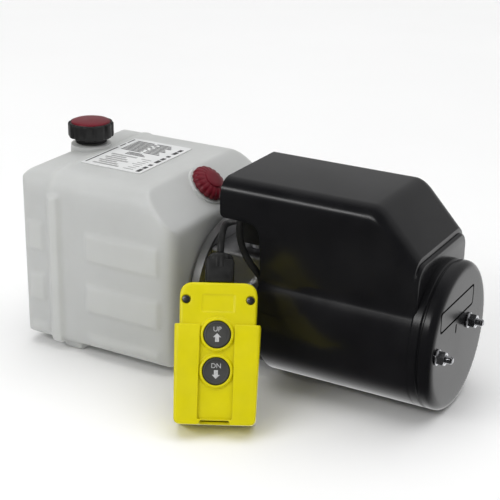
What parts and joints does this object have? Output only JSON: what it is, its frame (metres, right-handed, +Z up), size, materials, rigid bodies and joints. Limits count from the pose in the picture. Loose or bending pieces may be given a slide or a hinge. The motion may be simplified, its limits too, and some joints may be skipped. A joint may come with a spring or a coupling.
{
  "type": "hydraulic power unit",
  "caption": "Compact DC hydraulic power unit: plastic oil tank, gear pump, valve manifold, covered motor and a wired two-button pendant in a holster.",
  "frame": {"origin": "on the floor under the middle of the unit and its pendant, cord and coil left out", "axes": "+X along the motor axis from the tank to the motor's end disc, +Z up, pendant on the -Y side"},
  "size_m": [0.3828, 0.3333, 0.1823],
  "materials": {
    "natural_plastic": "milky translucent rotomoulded polyethylene",
    "rubber": "matt black",
    "label_film": "printed vinyl film",
    "black_plastic": "moulded, lightly textured",
    "red_plastic": "moulded dark red",
    "cast_aluminium": "machined and as-cast",
    "zinc_plate": "bright zinc plate",
    "steel": "turned",
    "painted_steel": "satin black paint",
    "ferrite": "ground ferrite",
    "carbon": "pressed carbon",
    "copper": "copper wire and bars",
    "gloss_black": "glossy moulded",
    "yellow_plastic": "moulded, satin",
    "grey_button": "soft touch dark grey"
  },
  "bodies": {
    "unit": {"reservoir": "natural_plastic", "reservoir_gasket": "rubber", "tank_label": "label_film", "adapter_flange": "cast_aluminium", "flange_screw_1": "zinc_plate", "flange_screw_2": "zinc_plate", "flange_screw_3": "zinc_plate", "flange_screw_4": "zinc_plate", "manifold_block": "cast_aluminium", "relief_valve": "zinc_plate", "check_valve": "zinc_plate", "valve_stem": "steel", "valve_coil": "black_plastic", "coil_nut": "zinc_plate", "pump_body": "cast_aluminium", "pump_cover": "cast_aluminium", "suction_strainer": "steel", "motor_barrel": "painted_steel", "drive_head": "cast_aluminium", "end_head": "cast_aluminium", "front_bearing": "steel", "rear_bearing": "steel", "magnet_left": "ferrite", "magnet_right": "ferrite", "brush_plate": "black_plastic", "brush_left": "carbon", "brush_right": "carbon", "start_solenoid": "steel", "motor_lead": "rubber", "ground_lead": "rubber", "ground_boot": "rubber", "motor_cover": "gloss_black", "cover_stud_1": "zinc_plate", "cover_nut_1": "zinc_plate", "cover_stud_2": "zinc_plate", "cover_nut_2": "zinc_plate", "holster": "yellow_plastic", "cord_grommet": "rubber", "cord_rise": "rubber", "cord_drop": "rubber", "cord_coil": "rubber"},
    "armature": {"armature_core": "copper", "armature_shaft": "steel", "commutator": "copper", "shaft_coupling": "steel", "drive_gear": "steel"},
    "idler": {"driven_gear": "steel"},
    "cap_seal": {"filler_gasket": "rubber"},
    "cap": {"filler_cap": "black_plastic", "filler_cap_top": "red_plastic"},
    "fill_port": {"port_cap": "red_plastic"},
    "plunger": {"solenoid_plunger": "steel"},
    "handset": {"handset_front": "yellow_plastic", "handset_back": "yellow_plastic", "handset_screw_1": "zinc_plate", "handset_screw_2": "zinc_plate", "switch_block": "black_plastic", "cord_gland": "rubber"},
    "up_key": {"up_button": "grey_button"},
    "down_key": {"down_button": "grey_button"}
  },
  "joints": [
    {"name": "armature_spin", "type": "hinge", "parent": "unit", "child": "armature", "pos_m": [0.1, 0.03818, 0.06], "axis": [1, 0, 0], "continuous": true},
    {"name": "idler_spin", "type": "hinge", "parent": "unit", "child": "idler", "pos_m": [-0.05, 0.03818, 0.039], "axis": [1, 0, 0], "continuous": true},
    {"name": "cap_lift", "type": "slide", "parent": "unit", "child": "cap_seal", "axis": [0, 0, 1], "range_m": [0, 0.06]},
    {"name": "cap_turn", "type": "hinge", "parent": "cap_seal", "child": "cap", "pos_m": [-0.1716, 0.04118, 0.17], "axis": [0, 0, 1], "range_deg": [0, 90]},
    {"name": "port_cap_turn", "type": "hinge", "parent": "unit", "child": "fill_port", "pos_m": [-0.05205, 0.03818, 0.14311], "axis": [0.691, 0, 0.7228], "range_deg": [0, 720]},
    {"name": "plunger_pull", "type": "slide", "parent": "unit", "child": "plunger", "axis": [1, 0, 0], "range_m": [0, 0.003], "stiffness_N_per_m": 400},
    {"name": "handset_lift", "type": "slide", "parent": "unit", "child": "handset", "axis": [-0.2309, 0.4435, 0.866], "range_m": [0, 0.025], "deforming": ["cord_rise"]},
    {"name": "up_press", "type": "slide", "parent": "handset", "child": "up_key", "axis": [-0.3999, 0.7682, -0.5], "range_m": [0, 0.0022], "stiffness_N_per_m": 600},
    {"name": "down_press", "type": "slide", "parent": "handset", "child": "down_key", "axis": [-0.3999, 0.7682, -0.5], "range_m": [0, 0.0022], "stiffness_N_per_m": 600}
  ],
  "couplings": [
    {"joint": "idler_spin", "follows": "armature_spin", "ratio": -1}
  ]
}
